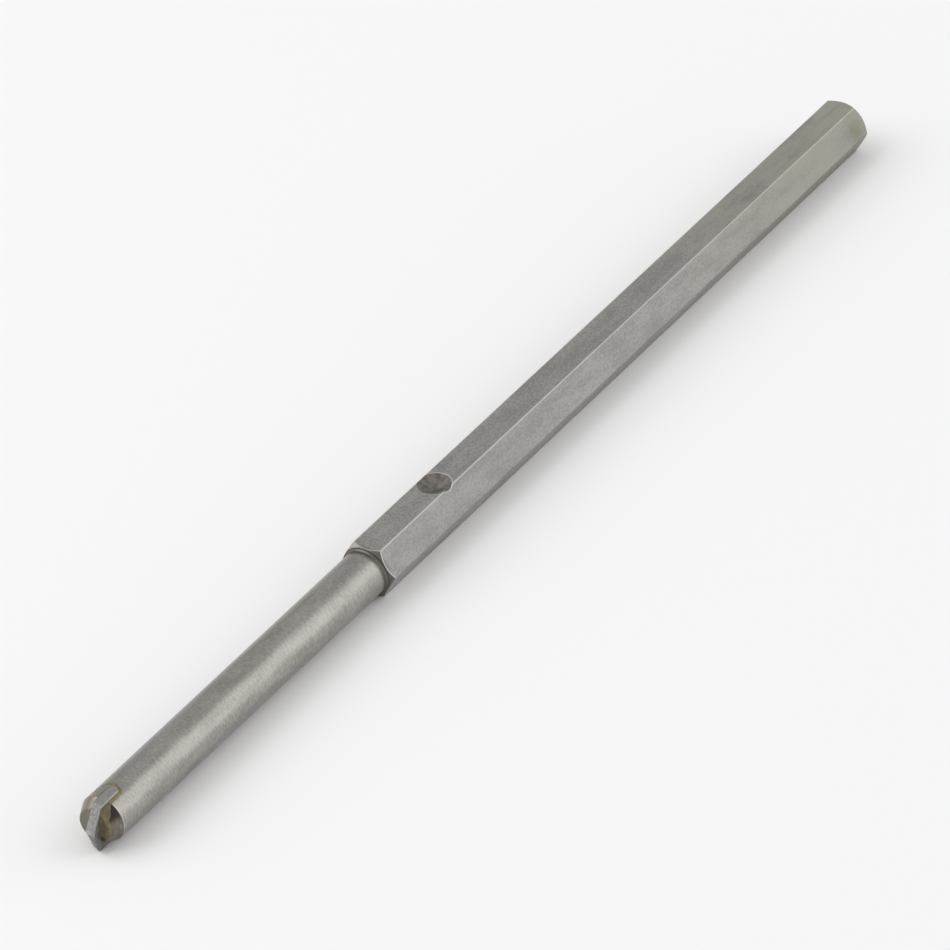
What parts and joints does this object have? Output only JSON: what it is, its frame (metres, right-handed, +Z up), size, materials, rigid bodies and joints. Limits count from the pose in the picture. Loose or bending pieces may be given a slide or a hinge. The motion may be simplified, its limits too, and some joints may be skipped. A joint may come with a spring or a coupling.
{
  "type": "centring drill with hexagonal shank",
  "caption": "Fluteless centring drill: long hexagonal steel shank with a conical screw seat, a turned round neck and a carbide chisel plate brazed across its coned nose.",
  "frame": {"origin": "centre of the base of the bounding box: halfway along the bar, under its axis, on the flat that faces down", "axes": "+X along the bar from the cutting tip to the tail, +Z up through the flat with the screw seat"},
  "size_m": [0.22, 0.0104, 0.009],
  "materials": {
    "ground_steel": "satin, drawn flats and fine turning marks on the neck",
    "tungsten_carbide": "matt ground tungsten carbide",
    "braze_brass": "dull brass braze, as flowed"
  },
  "bodies": {
    "root": {"shank_body": "ground_steel", "carbide_tip": "tungsten_carbide", "braze_filler": "braze_brass"}
  },
  "joints": []
}
